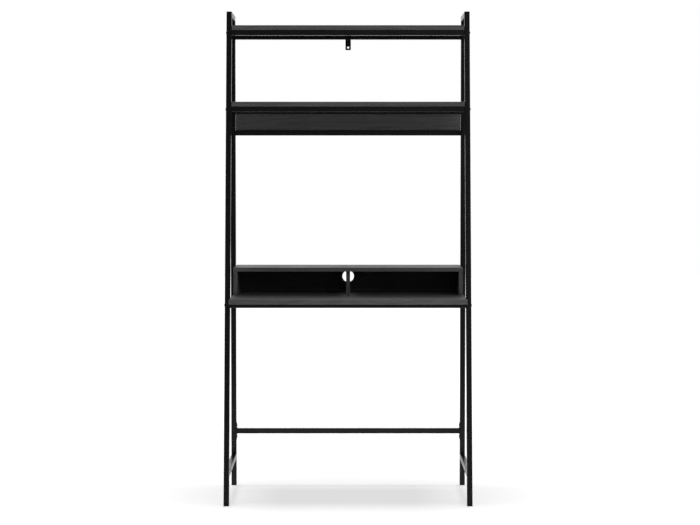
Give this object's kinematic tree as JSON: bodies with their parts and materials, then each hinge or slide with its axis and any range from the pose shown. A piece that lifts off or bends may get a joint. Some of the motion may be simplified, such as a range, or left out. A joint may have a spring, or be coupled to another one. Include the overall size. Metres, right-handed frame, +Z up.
{
  "type": "ladder desk",
  "caption": "Ladder desk of black square tube and wood-grain board, with leaning front legs, a low open cubby on the desk and shelves above it.",
  "frame": {"origin": "on the floor under the middle of the desk's outline", "axes": "+Z up, -Y towards the person sitting at the desk, +X to that person's right"},
  "size_m": [0.9184, 0.457, 1.828],
  "materials": {
    "frame_steel": "satin black powder coat",
    "wood_grain_board": "black wood-grain laminate, satin",
    "cap_plastic": "matte black",
    "black_bolts": "black oxide",
    "zinc_hardware": "zinc plated",
    "peg_wood": "plain beech"
  },
  "bodies": {
    "root": {"left_front_leg": "frame_steel", "left_rear_leg": "frame_steel", "left_top_bar": "frame_steel", "left_side_stretcher": "frame_steel", "right_front_leg": "frame_steel", "right_rear_leg": "frame_steel", "right_top_bar": "frame_steel", "right_side_stretcher": "frame_steel", "top_shelf_front_rail": "frame_steel", "top_shelf_rear_rail": "frame_steel", "middle_shelf_front_rail": "frame_steel", "middle_shelf_rear_rail": "frame_steel", "back_panel_rail": "frame_steel", "desk_front_rail": "frame_steel", "desk_rear_rail": "frame_steel", "rear_stretcher": "frame_steel", "stretcher_end_plates": "frame_steel", "wall_bracket": "frame_steel", "top_shelf_board": "wood_grain_board", "middle_shelf_board": "wood_grain_board", "desk_board": "wood_grain_board", "back_panel": "wood_grain_board", "cubby_top": "wood_grain_board", "cubby_left_side": "wood_grain_board", "cubby_right_side": "wood_grain_board", "cubby_divider": "wood_grain_board", "cubby_back": "wood_grain_board", "front_foot_caps": "cap_plastic", "rear_foot_caps": "cap_plastic", "front_rail_bolts": "black_bolts", "rear_rail_bolts": "black_bolts", "stretcher_bolts": "black_bolts", "wall_bracket_bolt": "black_bolts", "top_shelf_screws": "black_bolts", "middle_shelf_screws": "black_bolts", "desk_screws": "black_bolts", "back_panel_screws": "black_bolts", "cubby_connectors": "zinc_hardware", "front_rail_nuts": "zinc_hardware", "rear_rail_nuts": "zinc_hardware", "stretcher_nuts": "zinc_hardware", "wall_bracket_nut": "zinc_hardware", "back_panel_pins": "peg_wood", "cubby_dowels": "peg_wood"}
  },
  "joints": []
}
